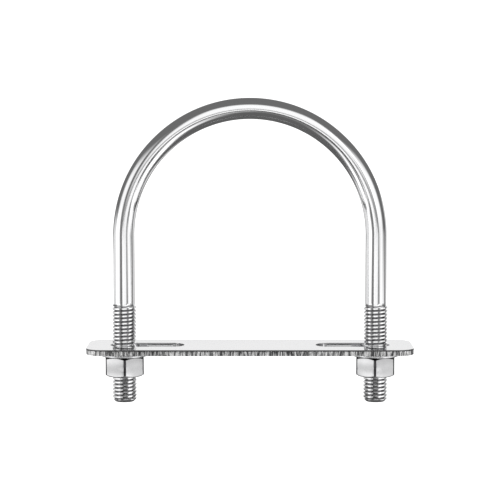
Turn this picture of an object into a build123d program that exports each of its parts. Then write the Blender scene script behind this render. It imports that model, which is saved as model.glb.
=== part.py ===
from build123d import *
import math
import os

# U-bolt clamp for a pipe, in millimetres. The origin is the centre of the bend, where a pipe's axis goes.
# +Z points to the crown, +X along the plate, and the pipe runs along Y. Both legs point down.

# The pipe and the bent rod
inner_width = 78.0          # between the legs' plain shanks, for a pipe of 76.1 outside diameter
shank_diameter = 7.19       # plain rod before its thread is rolled: the thread's pitch diameter
thread_diameter = 8.0       # M8
thread_pitch = 1.25
thread_length = 33.2        # from a leg's end up to the full thread's first turn
leg_length = 56.6           # from the bend's centre down to a leg's end
end_chamfer = 0.8

# The plate across the legs
plate_length = 110.0
plate_width = 25.0
plate_thickness = 2.0
plate_corner = 5.6
plate_top = -37.4           # height of the face that the pipe sits on
slot_length = 25.0          # end to end
slot_width = 9.0
slot_centre = 34.8          # from the middle of the plate

# Washers and nuts
washer_outer = 16.0
washer_hole = 8.4
washer_thickness = 1.6
nut_across_flats = 12.9
nut_height = 6.8
nut_bore = 8.1              # turns on the legs' outer diameter with a running clearance
nut_chamfer_angle = 30.0
nut_face_step = 0.2         # the flat ring of each face ends this far inside the flats
nut_mouth_depth = 0.45      # 45 degree countersink at both ends of the bore
nut_turn = 4.8              # a corner of each nut points forward, turned this far towards the plate's middle

# Worked out from those above
leg_spacing = inner_width + shank_diameter
leg_x = leg_spacing / 2
washer_top = plate_top - plate_thickness
nut_top = washer_top - washer_thickness
nut_corner_radius = nut_across_flats / math.sqrt(3)
cutter_margin = 1.0         # how far a cutting shape reaches past what it cuts


def round_bar(points):
    """A turned shape about +Z from its half outline, a list of (radius, height) points."""
    outline = make_face(Polyline(*[(r, 0, z) for r, z in points], close=True))
    return revolve(outline, axis=Axis.Z)


def leg(x):
    """One straight leg: plain shank, short cone where the thread runs out, then the thread's outer cylinder."""
    shank = shank_diameter / 2
    thread = thread_diameter / 2
    thread_top = -leg_length + thread_length
    cone_top = thread_top + thread_pitch
    outline = [
        (0, 0),
        (shank, 0),
        (shank, cone_top),
        (thread, thread_top),
        (thread, -leg_length + end_chamfer),
        (thread - end_chamfer, -leg_length),
        (0, -leg_length),
    ]
    return Pos(x, 0, 0) * round_bar(outline)


def u_bolt():
    """The rod: half a ring over the pipe and a leg down each side."""
    section = Pos(leg_x, 0, 0) * Circle(shank_diameter / 2)
    crown = revolve(section, axis=Axis.Y, revolution_arc=-180)
    return crown + leg(leg_x) + leg(-leg_x)


def clamp_plate():
    """The flat plate, with round corners and a long slot for each leg."""
    outline = RectangleRounded(plate_length, plate_width, plate_corner)
    slots = [Pos(x, 0) * SlotOverall(slot_length, slot_width) for x in (-slot_centre, slot_centre)]
    return Pos(0, 0, plate_top - plate_thickness) * extrude(outline - slots, plate_thickness)


def washer(x):
    """A flat ring round a leg, under the plate."""
    ring = Circle(washer_outer / 2) - Circle(washer_hole / 2)
    return Pos(x, 0, washer_top - washer_thickness) * extrude(ring, washer_thickness)


def nut(x, turn):
    """A hexagon nut with both faces chamfered to the flats and both mouths of its bore countersunk."""
    hexagon = extrude(RegularPolygon(nut_corner_radius, 6, rotation=30 + turn), nut_height)
    face_radius = nut_across_flats / 2 - nut_face_step
    reach = nut_corner_radius + cutter_margin
    chamfer_height = (reach - face_radius) * math.tan(math.radians(nut_chamfer_angle))
    barrel = round_bar([
        (0, 0),
        (face_radius, 0),
        (reach, chamfer_height),
        (reach, nut_height - chamfer_height),
        (face_radius, nut_height),
        (0, nut_height),
    ])
    bore = nut_bore / 2
    mouth = bore + nut_mouth_depth + cutter_margin
    hole = round_bar([
        (0, -cutter_margin),
        (mouth, -cutter_margin),
        (bore, nut_mouth_depth),
        (bore, nut_height - nut_mouth_depth),
        (mouth, nut_height + cutter_margin),
        (0, nut_height + cutter_margin),
    ])
    return Pos(x, 0, nut_top - nut_height) * ((hexagon & barrel) - hole)


os.makedirs("parts", exist_ok=True)
export_step(u_bolt(), "parts/u_bolt.step")
export_step(clamp_plate(), "parts/clamp_plate.step")
for side, x, turn in (("left", -leg_x, nut_turn), ("right", leg_x, -nut_turn)):
    export_step(washer(x), f"parts/washer_{side}.step")
    export_step(nut(x, turn), f"parts/nut_{side}.step")
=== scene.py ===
import math
import bpy
import bmesh
from mathutils import Matrix, Vector, noise


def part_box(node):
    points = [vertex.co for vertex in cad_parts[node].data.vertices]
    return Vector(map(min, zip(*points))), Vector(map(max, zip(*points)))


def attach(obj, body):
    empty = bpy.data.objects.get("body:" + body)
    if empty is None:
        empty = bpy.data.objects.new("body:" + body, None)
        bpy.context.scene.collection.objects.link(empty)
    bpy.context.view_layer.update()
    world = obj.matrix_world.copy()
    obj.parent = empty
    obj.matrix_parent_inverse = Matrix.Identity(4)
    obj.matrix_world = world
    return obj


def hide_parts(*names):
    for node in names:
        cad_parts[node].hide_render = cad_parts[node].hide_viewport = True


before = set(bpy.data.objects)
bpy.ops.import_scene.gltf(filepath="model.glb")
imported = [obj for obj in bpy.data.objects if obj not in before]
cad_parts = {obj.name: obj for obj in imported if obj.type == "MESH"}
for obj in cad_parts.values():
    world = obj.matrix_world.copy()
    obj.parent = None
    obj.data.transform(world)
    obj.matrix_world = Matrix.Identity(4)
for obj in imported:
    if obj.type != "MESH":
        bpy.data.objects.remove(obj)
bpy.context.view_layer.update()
scene = bpy.context.scene
mm = 0.001
hair = 0.001 * mm       # far below any real size, for merging points


# small helpers for modelling

def freshStart():
    if bpy.context.object and bpy.context.object.mode != "OBJECT":
        bpy.ops.object.mode_set(mode="OBJECT")
    bpy.ops.object.select_all(action="DESELECT")


def activate(obj):
    freshStart()
    obj.select_set(True)
    bpy.context.view_layer.objects.active = obj


def named(name):
    obj = bpy.context.object
    obj.name = name
    obj.data.name = name
    return obj


def editMode(obj, selectAll=False):
    activate(obj)
    bpy.ops.object.mode_set(mode="EDIT")
    bpy.ops.mesh.select_mode(type="VERT")
    bpy.ops.mesh.select_all(action="SELECT" if selectAll else "DESELECT")


def objectMode():
    bpy.ops.object.mode_set(mode="OBJECT")


def pickEdges(obj, test):
    # selects only the edges that pass the test
    bpy.ops.mesh.select_mode(type="EDGE")
    bpy.ops.mesh.select_all(action="DESELECT")
    mesh = bmesh.from_edit_mesh(obj.data)
    for edge in mesh.edges:
        if test(edge):
            edge.select_set(True)
    mesh.select_flush_mode()
    bmesh.update_edit_mesh(obj.data)


def edgeMiddle(edge):
    return (edge.verts[0].co + edge.verts[1].co) / 2


def applyModifier(obj, kind, **settings):
    activate(obj)
    modifier = obj.modifiers.new(kind.title(), kind)
    for key, value in settings.items():
        setattr(modifier, key, value)
    bpy.ops.object.modifier_apply(modifier=modifier.name)


def placeMesh(obj, matrix):
    # the object stays at the origin, and its place goes into its mesh
    obj.data.transform(matrix)
    obj.data.update()


def applyPlace(obj):
    activate(obj)
    bpy.ops.object.transform_apply(location=True, rotation=True, scale=True)


def copyPiece(obj, name, matrix):
    copy = obj.copy()
    copy.data = obj.data.copy()
    copy.name = name
    copy.data.name = name
    scene.collection.objects.link(copy)
    placeMesh(copy, matrix)
    return copy


def joinInto(obj, *others):
    activate(obj)
    for other in others:
        other.select_set(True)
    bpy.ops.object.join()


def cleanMesh(obj, distance=hair):
    editMode(obj, selectAll=True)
    bpy.ops.mesh.remove_doubles(threshold=distance)
    bpy.ops.mesh.normals_make_consistent(inside=False)
    objectMode()


def smoothShade(obj, angle):
    activate(obj)
    bpy.ops.object.shade_smooth_by_angle(angle=math.radians(angle))


def drawProfile(name, points):
    # a chain of edges in the XZ plane, drawn by extruding one vertex along (x, z) points
    freshStart()
    bpy.ops.mesh.primitive_plane_add(size=mm, location=(0, 0, 0))
    profile = named(name)
    editMode(profile, selectAll=True)
    bpy.ops.mesh.merge(type="CENTER")
    bpy.ops.transform.translate(value=(points[0][0], 0, points[0][1]))
    for (x0, z0), (x1, z1) in zip(points, points[1:]):
        bpy.ops.mesh.extrude_region_move(TRANSFORM_OT_translate={"value": (x1 - x0, 0, z1 - z0)})
    objectMode()
    return profile


def lathe(name, points, steps):
    # a closed profile, or one that starts and ends on the axis, spun all the way round +Z
    shape = drawProfile(name, points)
    editMode(shape, selectAll=True)
    bpy.ops.mesh.spin(steps=steps, angle=2 * math.pi, center=(0, 0, 0), axis=(0, 0, 1))
    objectMode()
    cleanMesh(shape)
    return shape


def boolean(obj, cutter, operation):
    applyModifier(obj, "BOOLEAN", object=cutter, operation=operation, solver="EXACT")
    bpy.data.objects.remove(cutter)


def roundedCorner(centre, radius, fromAngle, toAngle, steps):
    angles = [math.radians(fromAngle + (toAngle - fromAngle) * i / steps) for i in range(steps + 1)]
    return [(centre[0] + radius * math.cos(a), centre[1] + radius * math.sin(a)) for a in angles]


def distanceFromAxis(place):
    return math.hypot(place.x, place.y)


def drawIn(vertex, radius):
    # moves a vertex straight towards the Z axis, or away from it, to a new radius
    change = radius / distanceFromAxis(vertex.co)
    vertex.co.x *= change
    vertex.co.y *= change


# shader building: a socket with arithmetic, and one method for every other node

class Wire:
    def __init__(self, finish, socket):
        self.finish = finish
        self.socket = socket

    def __add__(self, other):
        return self.finish.maths("ADD", self, other)

    def __radd__(self, other):
        return self.finish.maths("ADD", other, self)

    def __sub__(self, other):
        return self.finish.maths("SUBTRACT", self, other)

    def __rsub__(self, other):
        return self.finish.maths("SUBTRACT", other, self)

    def __mul__(self, other):
        return self.finish.maths("MULTIPLY", self, other)

    def __rmul__(self, other):
        return self.finish.maths("MULTIPLY", other, self)

    def __pow__(self, other):
        return self.finish.maths("POWER", self, other)

    def __rpow__(self, other):
        return self.finish.maths("POWER", other, self)


class Finish:
    # one material or world, and the nodes that make it
    def __init__(self, owner, output="ShaderNodeOutputMaterial"):
        self.owner = owner
        owner.use_nodes = True
        self.tree = owner.node_tree
        self.tree.nodes.clear()
        self.output = self.tree.nodes.new(output)

    def fill(self, socket, value):
        if isinstance(value, Wire):
            self.tree.links.new(value.socket, socket)
        else:
            socket.default_value = value

    def add(self, kind, settings=None, inputs=None):
        node = self.tree.nodes.new(kind)
        for key, value in (settings or {}).items():
            setattr(node, key, value)
        for key, value in (inputs or {}).items():
            self.fill(node.inputs[key], value)
        return node

    def wire(self, kind, output, settings=None, inputs=None):
        return Wire(self, self.add(kind, settings, inputs).outputs[output])

    def finishWith(self, shader):
        self.tree.links.new(shader.socket, self.output.inputs["Surface"])
        return self.owner

    def maths(self, operation, *values):
        return self.wire("ShaderNodeMath", 0, {"operation": operation}, dict(enumerate(values)))

    def objectPlace(self):
        return self.wire("ShaderNodeTexCoord", "Object")

    def axes(self, vector):
        node = self.add("ShaderNodeSeparateXYZ", None, {"Vector": vector})
        return [Wire(self, node.outputs[i]) for i in range(3)]

    def stretched(self, scale=(1, 1, 1), uv=None):
        # object or UV coordinates, stretched
        source = self.wire("ShaderNodeUVMap", "UV", {"uv_map": uv}) if uv else self.objectPlace()
        return self.wire("ShaderNodeMapping", "Vector", None, {"Vector": source, "Scale": scale})

    def noise(self, vector, scale, detail=3, roughness=0.55, distortion=0):
        return self.wire("ShaderNodeTexNoise", "Fac", None, {
            "Vector": vector, "Scale": scale, "Detail": detail,
            "Roughness": roughness, "Distortion": distortion})

    def spread(self, value, low, high, toLow=0.0, toHigh=1.0, curve="LINEAR"):
        # stretches low..high to toLow..toHigh, held at both ends
        return self.wire("ShaderNodeMapRange", "Result", {"interpolation_type": curve, "clamp": True}, {
            "Value": value, "From Min": low, "From Max": high, "To Min": toLow, "To Max": toHigh})

    def mixColours(self, factor, first, second):
        node = self.add("ShaderNodeMix", {"data_type": "RGBA"}, {"Factor": factor})
        for socket, value in ((node.inputs[6], first), (node.inputs[7], second)):
            self.fill(socket, value if isinstance(value, Wire) else (*value, 1))
        return Wire(self, node.outputs[2])

    def bump(self, height, strength, distance, normal=None):
        inputs = {"Height": height, "Strength": strength, "Distance": distance}
        if normal:
            inputs["Normal"] = normal
        return self.wire("ShaderNodeBump", "Normal", None, inputs)

    def metal(self, colour, roughness, normal):
        return self.finishWith(self.wire("ShaderNodeBsdfPrincipled", "BSDF", None, {
            "Base Color": colour, "Roughness": roughness, "Metallic": 1.0, "Normal": normal}))


def giveFinish(obj, main, second=None, isSecond=None):
    obj.data.materials.clear()
    obj.data.materials.append(main)
    if second:
        obj.data.materials.append(second)
        for face in obj.data.polygons:
            if isSecond(face):
                face.material_index = 1


# sizes that come from the frame

rodLow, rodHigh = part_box("u_bolt")
plateLow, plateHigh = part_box("clamp_plate")
washerLow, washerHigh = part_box("washer_left")
nutLow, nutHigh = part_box("nut_left")
legX = -(washerLow.x + washerHigh.x) / 2
legEnd = rodLow.z
sides = {"left": (-legX, 4.8), "right": (legX, -4.8)}   # each leg, and its nut's turn in degrees


def legPlace(side):
    x, turn = sides[side]
    return Matrix.Translation((x, 0, 0)) @ Matrix.Rotation(math.radians(turn), 4, "Z")


# the M8 thread, used for the legs and to cut the nuts

thread = {
    "pitch": 1.25 * mm,
    "crest": 4.0 * mm,          # radius over the crests
    "root": 3.34 * mm,
    "crestFlat": 0.62 * mm,
    "rootFlat": 0.13 * mm,
    "ease": 0.06 * mm,          # how far its corners are eased along the leg
    "rootRise": 0.25,           # and across it, as shares of that
    "crestDrop": 0.06,
    "flank": (0.08, 0.92),      # where each straight flank starts and ends
    "steps": 88,                # round one turn
    "length": 32.4 * mm,
    "runOut": 0.8 * mm,         # where the thread fades into the shank
    "endChamfer": 0.85 * mm,
    "nutGap": 0.06 * mm,        # play between a leg's thread and its nut's
}
threadTop = legEnd + thread["length"]


def threadProfile(grow):
    # one pitch, from the middle of a root to the next
    pitch, crest, root = thread["pitch"], thread["crest"] + grow, thread["root"] + grow
    ease = thread["ease"]
    crestStart = (pitch - thread["crestFlat"]) / 2
    rootEnd = thread["rootFlat"] / 2
    lower = [(root, 0), (root + ease * thread["rootRise"], rootEnd - ease)]
    lower += [(root + (crest - root) * t, rootEnd + (crestStart - rootEnd) * t) for t in thread["flank"]]
    lower += [(crest - ease * thread["crestDrop"], crestStart + ease)]
    upper = [(r, pitch - z) for r, z in reversed(lower)]
    return lower + [(crest, pitch / 2)] + upper


def threadTube(name, low, high, grow=0.0):
    # a right-hand helix about +Z, cut off flat at both ends
    pitch = thread["pitch"]
    turns = math.ceil((high - low) / pitch) + 3
    tube = drawProfile(name, threadProfile(grow))
    applyModifier(
        tube, "SCREW", axis="Z", angle=2 * math.pi, screw_offset=pitch, iterations=turns,
        steps=thread["steps"], render_steps=thread["steps"], use_merge_vertices=True,
        merge_threshold=hair, use_smooth_shade=True,
    )
    start = (math.floor(low / pitch) - 1) * pitch       # whole pitches, so every helix is in step
    placeMesh(tube, Matrix.Translation((0, 0, start)))
    cleanMesh(tube)
    editMode(tube, selectAll=True)
    cut = {"plane_no": (0, 0, 1), "threshold": hair / 10}
    bpy.ops.mesh.bisect(plane_co=(0, 0, low), clear_inner=True, **cut)
    bpy.ops.mesh.select_all(action="SELECT")
    bpy.ops.mesh.bisect(plane_co=(0, 0, high), clear_outer=True, **cut)
    objectMode()
    return tube


def capEnd(obj, height, rings=()):
    # closes the open loop at a height, after rings of (scale, rise) that step in towards the axis
    editMode(obj)
    pickEdges(obj, lambda e: e.is_boundary and abs(edgeMiddle(e).z - height) < 5 * hair)
    for scale, rise in rings:
        bpy.ops.mesh.extrude_region_move(TRANSFORM_OT_translate={"value": (0, 0, rise)})
        bpy.ops.transform.resize(value=(scale, scale, 1), center_override=(0, 0, height))
    bpy.ops.mesh.edge_face_add()
    objectMode()


# the bent rod: drawn and polished bar

rod = {
    "shankRadius": 3.58 * mm,
    "bendSteps": 200,
    "shankSteps": 3,            # down each leg's plain part
    "threadGap": 0.6 * mm,      # left between the shank and its thread, and bridged
    "endDish": 0.12 * mm,
    "endRings": ((0.8, 0), (0.75, 0.7), (0.6, 0.3)),    # each ring's scale, and its share of the dish
    "smoothAngle": 26,
    "bright": (0.94, 0.94, 0.945),
    "dull": (0.88, 0.88, 0.89),
    # painted shade in the thread's roots: its colour, and how far above the root it reaches
    "rootShadeColour": (0.22, 0.22, 0.225),                       # down in the thread
    "rootShadeDepth": (0.03 * mm, 0.25 * mm),               # above the root: where it thins, and where it ends
    "roughness": 0.085,
}


def shapeThreadEnds(tube):
    # fades the top of the thread into the shank, and cones its lower end
    for vertex in tube.data.vertices:
        radius = distanceFromAxis(vertex.co)
        fade = min(1, max(0, (vertex.co.z - threadTop) / thread["runOut"]))
        fade = fade * fade * (3 - 2 * fade)
        wanted = radius + (rod["shankRadius"] - radius) * fade
        cone = thread["crest"] - thread["endChamfer"] + max(0, vertex.co.z - legEnd)
        drawIn(vertex, min(wanted, cone))


def makeRod():
    tubeTop = threadTop + thread["runOut"]
    leg = threadTube("legThread", legEnd, tubeTop)
    shapeThreadEnds(leg)
    capEnd(leg, legEnd, [(scale, rod["endDish"] * share) for scale, share in rod["endRings"]])

    freshStart()
    bpy.ops.mesh.primitive_circle_add(
        vertices=thread["steps"], radius=rod["shankRadius"], location=(legX, 0, 0))
    bent = named("bentRod")
    applyPlace(bent)
    editMode(bent, selectAll=True)
    bpy.ops.mesh.spin(steps=rod["bendSteps"], angle=math.pi, center=(0, 0, 0), axis=(0, 1, 0))
    pickEdges(bent, lambda e: e.is_boundary)
    down = (tubeTop + rod["threadGap"]) / rod["shankSteps"]
    for step in range(rod["shankSteps"]):
        bpy.ops.mesh.extrude_region_move(TRANSFORM_OT_translate={"value": (0, 0, down)})
    objectMode()

    legs = [copyPiece(leg, "leg_" + side, legPlace(side)) for side in sides]
    bpy.data.objects.remove(leg)
    joinInto(bent, *legs)
    for x, turn in sides.values():
        editMode(bent)
        pickEdges(bent, lambda e: e.is_boundary and abs(edgeMiddle(e).x - x) < 2 * thread["crest"])
        bpy.ops.mesh.bridge_edge_loops()
        objectMode()
    cleanMesh(bent)
    smoothShade(bent, rod["smoothAngle"])
    return bent


def mapAlongRod(obj):
    # UV in millimetres: along the bar, and round it
    mesh = obj.data
    layer = mesh.uv_layers.new(name="alongRod")
    for face in mesh.polygons:
        middle = None
        for loop in face.loop_indices:
            place = mesh.vertices[mesh.loops[loop].vertex_index].co
            if place.z > 0:
                along = math.atan2(place.x, place.z) * legX
                out = math.hypot(place.x, place.z) - legX
            else:
                along = math.copysign(legX * math.pi / 2 - place.z, place.x)
                out = abs(place.x) - legX
            turn = math.atan2(place.y, -out)
            if middle is None:
                middle = turn
            elif turn - middle > math.pi:
                turn -= 2 * math.pi
            elif middle - turn > math.pi:
                turn += 2 * math.pi
            layer.data[loop].uv = (along / mm, turn * rod["shankRadius"] / mm)


def rodFinish():
    # faint drawing lines, a few handling marks, and painted shade down in the thread
    f = Finish(bpy.data.materials.new("polishedRod"))
    lines = f.noise(f.stretched((0.9, 60, 1), "alongRod"), 1.0, 2)
    patches = f.noise(f.stretched(), 90, 2)
    marks = f.spread(f.noise(f.stretched((6, 9, 1), "alongRod"), 3.0, 4, 0.7), 0.66, 0.74)
    x, y, z = f.axes(f.objectPlace())
    across = f.maths("ABSOLUTE", x) - legX
    radius = (across * across + y * y) ** 0.5
    threaded = f.spread(z, threadTop - 0.5 * mm, threadTop + mm, 1, 0)
    thins, ends = rod["rootShadeDepth"]
    # painted shade: darker down in the thread's roots
    shadeInRoots = f.spread(radius, thread["root"] + thins, thread["root"] + ends, 1, 0) * threaded
    colour = f.mixColours(patches, rod["bright"], rod["dull"])
    colour = f.mixColours(shadeInRoots, colour, rod["rootShadeColour"])
    roughness = rod["roughness"] + lines * 0.04 + marks * 0.05 + shadeInRoots * 0.12
    return f.metal(colour, roughness, f.bump(lines, 0.03, 0.01 * mm))


# the hexagon nuts: bright and tumbled to an even satin, with painted shade on their chamfers and corners

nut = {
    "flats": 12.9 * mm,
    "cornerBevel": 0.66355 * mm,    # set back along each side of a corner
    "cornerSteps": 5,
    "chamferAngle": 30,
    "faceRadius": 5.95 * mm,        # the flat ring left on each face
    "barrelSteps": 120,
    "edgeSoftness": 0.07 * mm,
    "softenAngle": 24,
    "mouthRadius": 4.5 * mm,
    "mouthSteps": 96,
    "tapReach": 2 * mm,             # how far the tap passes the nut's faces
    "smoothAngle": 22,
    "cornerShadeAngle": 14,              # each way from a corner's middle
    "boreZone": 6 * mm,             # faces nearer the axis than this are the bore's
    "bright": (0.55, 0.55, 0.555),
    "dull": (0.48, 0.48, 0.485),
    # painted shade, nearly black, on the chamfers and countersinks
    "chamferShadeColour": (0.06, 0.06, 0.062),
    # painted shade, nearly black, on the corners
    "cornerShadeColours": ((0.05, 0.05, 0.052), (0.10, 0.10, 0.102)),
    "roughness": 0.13,
    "cornerRoughness": 0.18,
}


def makeNut():
    low, high = nutLow.z, nutHigh.z
    corner = nut["flats"] / math.sqrt(3)
    freshStart()
    bpy.ops.mesh.primitive_cylinder_add(
        vertices=6, radius=corner, depth=high - low, location=(0, 0, (low + high) / 2))
    body = named("nut")
    applyPlace(body)
    # the cylinder's first corner is on Y, so two corners already point front and back
    editMode(body)
    pickEdges(body, lambda e: abs(e.verts[0].co.z - e.verts[1].co.z) > mm)
    bpy.ops.mesh.bevel(
        offset=nut["cornerBevel"], segments=nut["cornerSteps"], affect="EDGES", offset_type="OFFSET")
    objectMode()

    reach = corner + mm
    rise = (reach - nut["faceRadius"]) * math.tan(math.radians(nut["chamferAngle"]))
    barrel = lathe("chamferBarrel", [
        (0, low), (nut["faceRadius"], low), (reach, low + rise),
        (reach, high - rise), (nut["faceRadius"], high), (0, high),
    ], nut["barrelSteps"])
    boolean(body, barrel, "INTERSECT")
    cleanMesh(body, 4 * hair)
    applyModifier(
        body, "BEVEL", width=nut["edgeSoftness"], segments=2, limit_method="ANGLE",
        angle_limit=math.radians(nut["softenAngle"]), offset_type="OFFSET", use_clamp_overlap=True)

    tapLow, tapHigh = low - nut["tapReach"], high + nut["tapReach"]
    tap = threadTube("nutTap", tapLow, tapHigh, thread["nutGap"])
    capEnd(tap, tapLow)
    capEnd(tap, tapHigh)
    cleanMesh(tap)
    boolean(body, tap, "DIFFERENCE")
    countersink(body, low, -1)
    countersink(body, high, 1)
    cleanMesh(body, 2 * hair)
    smoothShade(body, nut["smoothAngle"])
    return body


def countersink(body, face, out):
    # a 45 degree cone into one mouth of the thread
    mouth, inner = nut["mouthRadius"], thread["root"]
    past = 0.1 * mm
    bottom = face - out * (mouth - inner + past)
    cone = lathe("mouthCone", [
        (0, face + out * mm), (mouth + mm, face + out * mm), (inner - past, bottom), (0, bottom),
    ], nut["mouthSteps"])
    boolean(body, cone, "DIFFERENCE")


def isNutCorner(face):
    # the middle of the rounding at each of the six corners
    turn = math.degrees(math.atan2(face.normal.y, face.normal.x)) - 90
    away = abs((turn + 30) % 60 - 30)
    upright = abs(face.normal.z) < 0.3
    return away < nut["cornerShadeAngle"] and upright and distanceFromAxis(face.center) > nut["boreZone"]


def nutFinish():
    f = Finish(bpy.data.materials.new("satinNut"))
    grain = f.noise(f.stretched(), 2600, 3)
    patches = f.noise(f.stretched(), 330, 2)
    up = f.axes(f.wire("ShaderNodeNewGeometry", "Normal"))[2]
    # painted shade: faces sloping up like the chamfers and countersinks are coloured nearly black
    chamferShadeMask = f.spread(up, 0.30, 0.60) * f.spread(up, 0.90, 0.97, 1, 0)
    colour = f.mixColours(patches, nut["bright"], nut["dull"])
    colour = f.mixColours(chamferShadeMask, colour, nut["chamferShadeColour"])
    roughness = nut["roughness"] + patches * 0.05 + grain * 0.04
    normal = f.bump(grain, 0.05, 0.02 * mm)
    return f.metal(colour, roughness, f.bump(patches, 0.02, 0.05 * mm, normal))


def cornerShadeFinish():
    # the nut's corners, coloured dark as painted shade
    f = Finish(bpy.data.materials.new("paintedCornerShade"))
    grain = f.noise(f.stretched(), 2600, 3)
    # painted shade: the corners coloured nearly black
    colour = f.mixColours(grain, *nut["cornerShadeColours"])
    roughness = nut["cornerRoughness"] + grain * 0.06
    return f.metal(colour, roughness, f.bump(grain, 0.05, 0.02 * mm))


# the torn part of a sheared or punched edge

tornEdge = {
    "streak": (0.62 * mm, 3.5 * mm),    # width and height of the upright streaks
    "grain": (0.3 * mm, 1.2 * mm),
    "depths": (0.5, 0.75, 0.3),         # everywhere, streaks and grain
    "dark": (0.09, 0.09, 0.092),
    "pale": (0.9, 0.9, 0.9),
    "roughness": 0.20,
    # painted shade: where a dark line along a sheared edge's top starts and is full
    "burnish": (0.55 * mm, 0.40 * mm),  # below a sheared edge's top: where its dark line starts and is full
}


def tornDepth(place, seedX, share):
    # how far the metal is cut back here, as a share of the full tear
    x, y, z = place
    width, height = tornEdge["streak"]
    streak = noise.noise(Vector((x / width + seedX, y / width, z / height)))
    width, height = tornEdge["grain"]
    grain = noise.noise(Vector((x / width, y / width + seedX, z / height)))
    even, deeper, finer = tornEdge["depths"]
    return min(1, share) * max(0, even + deeper * streak + finer * grain)


def tornFinish(name, dark, pale, shadeBandTop=None):
    # upright streaks, some bright and some nearly black, under a painted dark line of shade along the top
    f = Finish(bpy.data.materials.new(name))
    streaks = f.noise(f.stretched((2000, 2000, 220)), 1.0, 3, 0.6)
    grain = f.noise(f.stretched((1, 1, 0.5)), 9000, 2)
    toneAndShade = f.spread(streaks, 0.42, 0.58)
    # painted shade: the top band of the edge is coloured dark, by height
    if shadeBandTop:
        start, full = tornEdge["burnish"]
        height = f.axes(f.objectPlace())[2]
        toneAndShade = toneAndShade * f.spread(height, shadeBandTop - start, shadeBandTop - full, 1, 0)
    colour = f.mixColours(toneAndShade, dark, pale)
    normal = f.bump(streaks, 0.9, 0.25 * mm)
    roughness = tornEdge["roughness"] + grain * 0.2
    return f.metal(colour, roughness, f.bump(grain, 0.15, 0.02 * mm, normal))


# the flat washers, put on with their burred side up

washer = {
    "outer": 8.0 * mm,
    "hole": 4.2 * mm,
    "roll": 0.3 * mm,               # rounding of the lower edges
    "rollSteps": 4,
    "smooth": 0.4,                  # share of its thickness that the punch left smooth
    "burr": 0.05 * mm,
    "rimHeights": (0.38, 0.55, 0.72, 0.86),     # rings of points up its rim, and down its hole
    "holeHeights": (0.14, 0.3, 0.6),
    "steps": 240,
    "tear": 0.12 * mm,              # depth of the torn upper part of its rim
    "tearStart": 0.2 * mm,          # height over which the tear gets its full depth
    "holeZone": 6 * mm,             # faces nearer the axis than this are the hole's
    "smoothAngle": 35,
    "bright": (0.80, 0.80, 0.81),
    "dull": (0.68, 0.68, 0.69),
    "tornDark": (0.25, 0.25, 0.26),
    "tornPale": (0.8, 0.8, 0.8),
    "roughness": 0.18,
}
washerThick = washerHigh.z - washerLow.z
washerTornLow = washerLow.z + washer["smooth"] * washerThick


def makeWasher():
    low, high = washerLow.z, washerHigh.z
    outer, hole, roll, burr = washer["outer"], washer["hole"], washer["roll"], washer["burr"]
    rim = roundedCorner((outer - roll, low + roll), roll, -90, 0, washer["rollSteps"])
    bore = roundedCorner((hole + roll, low + roll), roll, -180, -90, washer["rollSteps"])
    points = [(hole + roll, low)] + rim
    points += [(outer, low + washerThick * share) for share in washer["rimHeights"]]
    points += [(outer - burr, high), (hole + burr, high)]
    points += [(hole, high - washerThick * share) for share in washer["holeHeights"]]
    ring = lathe("washer", points + bore, washer["steps"])
    for vertex in ring.data.vertices:
        radius = distanceFromAxis(vertex.co)
        rise = vertex.co.z - washerTornLow
        if rise > 0 and radius > outer - burr * 1.5:
            depth = tornDepth(vertex.co, 3.7, rise / washer["tearStart"])
            drawIn(vertex, radius - washer["tear"] * depth)
    smoothShade(ring, washer["smoothAngle"])
    return ring


def isPunchedEdge(face):
    upright = abs(face.normal.z) < 0.5
    outside = distanceFromAxis(face.center) > washer["holeZone"]
    return upright and outside and face.center.z > washerTornLow


def washerFinish():
    f = Finish(bpy.data.materials.new("tumbledWasher"))
    grain = f.noise(f.stretched(), 2200, 3)
    marks = f.noise(f.stretched(), 600, 4, 0.7)
    colour = f.mixColours(marks, washer["bright"], washer["dull"])
    roughness = washer["roughness"] + grain * 0.08 + marks * 0.08
    return f.metal(colour, roughness, f.bump(grain, 0.10, 0.02 * mm))


# the plate: polished sheet, sheared to its outline

plate = {
    "corner": 5.6 * mm,
    "cornerSteps": 40,
    "slotLength": 25 * mm,
    "slotWidth": 9 * mm,
    "slotCentre": 34.8 * mm,
    "slotSteps": 32,
    "roll": 0.07 * mm,          # rounding of the upper edge
    "rollSteps": 3,
    "margin": 0.25 * mm,        # a flat strip inside it, which keeps the top's shading flat
    "burnish": 0.34 * mm,       # smooth band under it
    "tornLayers": 5,
    "tear": 0.26 * mm,          # depth of the torn band
    "tearStart": 0.3 * mm,      # height over which the tear gets its full depth
    "edgeStep": 0.2 * mm,       # spacing of the points along the edge
    "smoothAngle": 40,
    "bright": (0.73, 0.73, 0.735),
    "dull": (0.67, 0.67, 0.68),
    "roughness": 0.08,
}


def outline(name, length, width, corner, centreX, segments):
    # a flat sheet with round corners, its straight edges divided evenly
    freshStart()
    bpy.ops.mesh.primitive_plane_add(size=1, location=(centreX, 0, plateLow.z))
    sheet = named(name)
    sheet.scale = (length, width, 1)
    applyPlace(sheet)
    editMode(sheet, selectAll=True)
    bpy.ops.mesh.bevel(offset=corner, segments=segments, affect="VERTICES", clamp_overlap=False)
    bpy.ops.mesh.select_all(action="SELECT")
    bpy.ops.mesh.remove_doubles(threshold=10 * hair)
    bpy.ops.mesh.select_mode(type="FACE")
    bpy.ops.mesh.select_all(action="SELECT")
    bpy.ops.mesh.delete(type="ONLY_FACE")
    for axis, straight in ((0, length - 2 * corner), (1, width - 2 * corner)):
        if straight > mm:
            pickEdges(sheet, lambda e: abs(e.verts[0].co[axis] - e.verts[1].co[axis]) > 0.9 * straight)
            bpy.ops.mesh.subdivide(number_cuts=9)       # in tenths first, as it makes at most 100 cuts
            bpy.ops.mesh.subdivide(number_cuts=round(straight / 10 / plate["edgeStep"]) - 1)
    objectMode()
    return sheet


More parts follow.
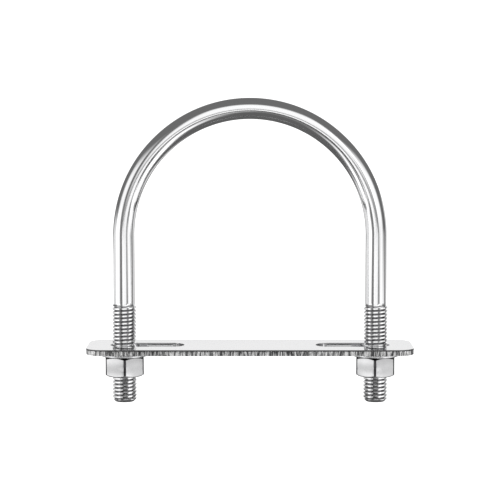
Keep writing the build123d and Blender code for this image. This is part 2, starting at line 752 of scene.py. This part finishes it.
def makePlate():
    length, width = plateHigh.x - plateLow.x, plateHigh.y - plateLow.y
    sheet = outline("plate", length, width, plate["corner"], 0, plate["cornerSteps"])
    slotCorner = plate["slotWidth"] / 2 - hair
    slots = [outline("slot", plate["slotLength"], plate["slotWidth"], slotCorner, x, plate["slotSteps"])
             for x in (-plate["slotCentre"], plate["slotCentre"])]
    joinInto(sheet, *slots)
    editMode(sheet, selectAll=True)
    bpy.ops.mesh.fill(use_beauty=True)
    bpy.ops.mesh.select_all(action="SELECT")
    bpy.ops.mesh.normals_make_consistent(inside=False)
    mesh = bmesh.from_edit_mesh(sheet.data)
    if sum(f.normal.z for f in mesh.faces) < 0:
        bpy.ops.mesh.flip_normals()
    bpy.ops.mesh.select_mode(type="FACE")
    bpy.ops.mesh.select_all(action="SELECT")
    torn = plateHigh.z - plateLow.z - plate["roll"] - plate["burnish"]
    for rise in [torn / plate["tornLayers"]] * plate["tornLayers"] + [plate["burnish"]]:
        bpy.ops.mesh.extrude_region_move(TRANSFORM_OT_translate={"value": (0, 0, rise)})
    arc = roundedCorner((0, 0), plate["roll"], 0, 90, plate["rollSteps"])
    for (x0, z0), (x1, z1) in zip(arc, arc[1:]):
        bpy.ops.mesh.inset(thickness=x0 - x1, depth=z1 - z0, use_even_offset=True)
    bpy.ops.mesh.inset(thickness=plate["margin"], depth=0, use_even_offset=True)
    bpy.ops.mesh.select_all(action="SELECT")
    bpy.ops.mesh.normals_make_consistent(inside=False)
    objectMode()
    tearPlateEdge(sheet)
    return sheet


def onRim(place):
    # the plate's outside edge, not the walls of its slots
    beside = abs(place.y) > plate["slotWidth"] / 2 + mm
    beyond = abs(place.x) > plate["slotCentre"] + plate["slotLength"] / 2 + mm
    return beside or beyond


def tearPlateEdge(obj):
    # the torn band is cut back unevenly, never outwards
    tornTop = plateHigh.z - plate["roll"] - plate["burnish"]
    outwards = {}
    for face in obj.data.polygons:
        if abs(face.normal.z) < 0.3:
            for index in face.vertices:
                outwards[index] = outwards.get(index, Vector()) + face.normal
    for index, normal in outwards.items():
        vertex = obj.data.vertices[index]
        drop = tornTop - vertex.co.z
        if drop > hair and onRim(vertex.co):
            depth = tornDepth(vertex.co, 1.3, drop / plate["tearStart"])
            flat = Vector((normal.x, normal.y, 0)).normalized()
            vertex.co -= flat * plate["tear"] * depth


def isShearedEdge(face):
    return abs(face.normal.z) < 0.5 and onRim(face.center)


def sheetFinish():
    # rolling lines along its length, and hairline scratches
    f = Finish(bpy.data.materials.new("polishedSheet"))
    lines = f.noise(f.stretched((40, 900, 1)), 1.0, 3)
    waves = f.noise(f.stretched(), 60, 2)
    scratches = f.spread(f.noise(f.stretched((250, 2600, 1)), 1.0, 4, 0.75, 0.4), 0.62, 0.72)
    colour = f.mixColours(waves, plate["bright"], plate["dull"])
    roughness = plate["roughness"] + lines * 0.06 + scratches * 0.12
    normal = f.bump(waves, 0.25, 0.05 * mm)
    return f.metal(colour, roughness, f.bump(lines, 0.06, 0.01 * mm, normal))


# making the pieces

print("rod")
bentRod = makeRod()
mapAlongRod(bentRod)
bentRod.name = "bent_rod"
giveFinish(bentRod, rodFinish())

print("plate")
clampPlate = makePlate()
clampPlate.name = "slotted_plate"
shearedEdge = tornFinish("shearedEdge", tornEdge["dark"], tornEdge["pale"], plateHigh.z)
giveFinish(clampPlate, sheetFinish(), shearedEdge, isShearedEdge)
smoothShade(clampPlate, plate["smoothAngle"])

print("washers and nuts")
flatWasher = makeWasher()
punchedEdge = tornFinish("punchedEdge", washer["tornDark"], washer["tornPale"])
giveFinish(flatWasher, washerFinish(), punchedEdge, isPunchedEdge)
hexNut = makeNut()
giveFinish(hexNut, nutFinish(), cornerShadeFinish(), isNutCorner)

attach(bentRod, "rod")
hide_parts("u_bolt")
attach(clampPlate, "plate")
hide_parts("clamp_plate")
for side in sides:
    for master, kind in ((flatWasher, "washer"), (hexNut, "nut")):
        piece = copyPiece(master, f"{kind}_{side}_piece", legPlace(side))
        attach(piece, f"{side}_{kind}")
        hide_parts(f"{kind}_{side}")
for master in (flatWasher, hexNut):
    bpy.data.objects.remove(master)


# studio: a white surround that only the camera sees, and a soft light tent that only the metal sees

print("studio")
studio = {
    "floorDrop": 25 * mm,       # below the legs' ends, so that a nut can run off them
    "floorSize": 4,
    "surround": 3.0,            # radius
    "white": 1.3,               # brightness of the surround and the floor
    "tent": 0.4,                # radius
    "above": 0.157,             # brightness of the tent's bare lining, high up and low down
    "below": 0.118,
    "blend": 0.35,              # share of the radius, up and down, over which it goes between them
    "smoothAngle": 60,
    # soft boxes on it: azimuth from the front towards the right, elevation, width, height
    # and edge softness in degrees, then brightness
    "boxes": {
        "front": (7.3, 23.7, 60, 42, 14, 0.92),
        "frontLow": (2.9, -9.0, 47.7, 10.6, 1.2, 0.95),
        "rightWing": (50.9, 10.2, 45.2, 34.4, 20, 0.95),
        "leftWing": (-61.7, 10.6, 39.9, 35.8, 20, 0.9),
        "lowLeft": (-87.5, -15.4, 69, 34, 14, 0.95),
        "lowLeftFront": (-50.5, -32.5, 47.1, 8.2, 20, 1.55),
        "lowRight": (72, -27.1, 52.2, 40.9, 14.4, 1.0),
        "lowRightFront": (38, -36.5, 46.1, 15.6, 20, 1.4),
        "backRight": (138.3, -13.7, 44.4, 43, 8.1, 0.55),
        "backLeft": (-141.9, -13.5, 29.9, 16.8, 3, 0.68),
        "back": (180, 12, 64, 30, 8, 0.87),
        "tableRight": (23.3, -25.2, 47.5, 17.7, 11.2, 0.4),
        "tableLeft": (-42, -15.8, 73.6, 41.9, 3, 0.08),
        "underLeft": (-40, -16.8, 30, 5.6, 1, 0.8),
        "underRight": (40, -16.8, 28, 5.6, 1, 0.7),
    },
    # black cards in front of them, with the share of the light that each takes away
    "cards": {
        "underFront": (0, -18.0, 50, 6.4, 0.8, 0.94),
        "underSideLeft": (-120, -19.4, 84, 3.6, 0.8, 0.85),
        "underSideRight": (120, -19.4, 84, 3.6, 0.8, 0.85),
        "gapLeft": (-37.4, -4.7, 6.8, 52.3, 3, 0.57),
        "gapRight": (26.8, -7.1, 8.6, 43.8, 4.1, 0.66),
        "sideDark": (-104.2, -16.6, 8, 32.8, 3.9, 0.57),
    },
}
pureWhite = (1, 1, 1, 1)


def glowMaterial(name, strength, oneSided=False):
    f = Finish(bpy.data.materials.new(name))
    glow = f.wire("ShaderNodeEmission", "Emission", None, {"Color": pureWhite, "Strength": strength})
    if oneSided:        # clear from below
        clear = f.wire("ShaderNodeBsdfTransparent", "BSDF")
        back = f.wire("ShaderNodeNewGeometry", "Backfacing")
        glow = f.wire("ShaderNodeMixShader", "Shader", None, {0: back, 1: glow, 2: clear})
    return f.finishWith(glow)


def onlyForCamera(obj):
    obj.visible_diffuse = False
    obj.visible_glossy = False
    obj.visible_transmission = False
    obj.visible_volume_scatter = False
    obj.visible_shadow = False


def makeSurround():
    freshStart()
    bpy.ops.mesh.primitive_uv_sphere_add(segments=48, ring_count=24, radius=studio["surround"])
    surround = named("surround")
    giveFinish(surround, glowMaterial("whiteSurround", studio["white"]))
    onlyForCamera(surround)


def makeFloor():
    freshStart()
    bpy.ops.mesh.primitive_plane_add(
        size=studio["floorSize"], location=(0, 0, legEnd - studio["floorDrop"]))
    floor = named("floor")
    giveFinish(floor, glowMaterial("whiteFloor", studio["white"], oneSided=True))
    onlyForCamera(floor)


def tentLining():
    # brighter at each soft box and darker behind each black card
    f = Finish(bpy.data.materials.new("tentLining"))
    towards = f.wire("ShaderNodeVectorMath", "Vector", {"operation": "NORMALIZE"}, {0: f.objectPlace()})
    x, y, z = f.axes(towards)
    turn = f.maths("ARCTAN2", x, y * -1) * math.degrees(1)
    rise = f.maths("ARCSINE", z) * math.degrees(1)

    def within(angle, size, soft):
        # 1 inside the size, fading to 0 over the soft edge
        away = f.maths("ABSOLUTE", angle)
        return f.spread(away, (size - soft) / 2, (size + soft) / 2, 1, 0, "SMOOTHSTEP")

    def patch(azimuth, elevation, wide, tall, soft, amount):
        across = f.maths("WRAP", turn - azimuth, 180, -180)
        return within(across, wide, soft) * within(rise - elevation, tall, soft) * amount

    glow = f.spread(z, -studio["blend"], studio["blend"], studio["below"], studio["above"])
    for box in studio["boxes"].values():
        glow = glow + patch(*box)
    for card in studio["cards"].values():
        glow = glow * (1 - patch(*card))
    return f.finishWith(f.wire("ShaderNodeEmission", "Emission", None, {"Color": glow, "Strength": 1}))


def makeTent():
    freshStart()
    bpy.ops.mesh.primitive_uv_sphere_add(segments=64, ring_count=32, radius=studio["tent"])
    tent = named("lightTent")
    editMode(tent, selectAll=True)
    bpy.ops.mesh.flip_normals()
    objectMode()
    smoothShade(tent, studio["smoothAngle"])
    giveFinish(tent, tentLining())
    tent.visible_camera = False
    tent.visible_shadow = False
    tent.visible_transmission = False


def makeWorld():
    f = Finish(bpy.data.worlds.new("studio"), "ShaderNodeOutputWorld")
    scene.world = f.finishWith(f.wire(
        "ShaderNodeBackground", "Background", None, {"Strength": studio["above"]}))


makeSurround()
makeFloor()
makeTent()
makeWorld()
scene.view_settings.view_transform = "Standard"


# camera: a little above the bend's centre, looking slightly down

print("camera")
camera = {
    "distance": 0.600,
    "height": 51.1 * mm,
    "aim": -5.1 * mm,           # height of the point it looks at
    "lens": 128.5,
}


def makeCamera():
    lens = bpy.data.cameras.new("camera")
    eye = bpy.data.objects.new("camera", lens)
    scene.collection.objects.link(eye)
    lens.lens = camera["lens"]
    lens.sensor_width = 36
    lens.clip_start = 0.01
    lens.clip_end = 10
    eye.location = (0, -camera["distance"], camera["height"])
    aim = Vector((0, 0, camera["aim"])) - eye.location
    eye.rotation_euler = aim.to_track_quat("-Z", "Y").to_euler()
    scene.camera = eye


makeCamera()
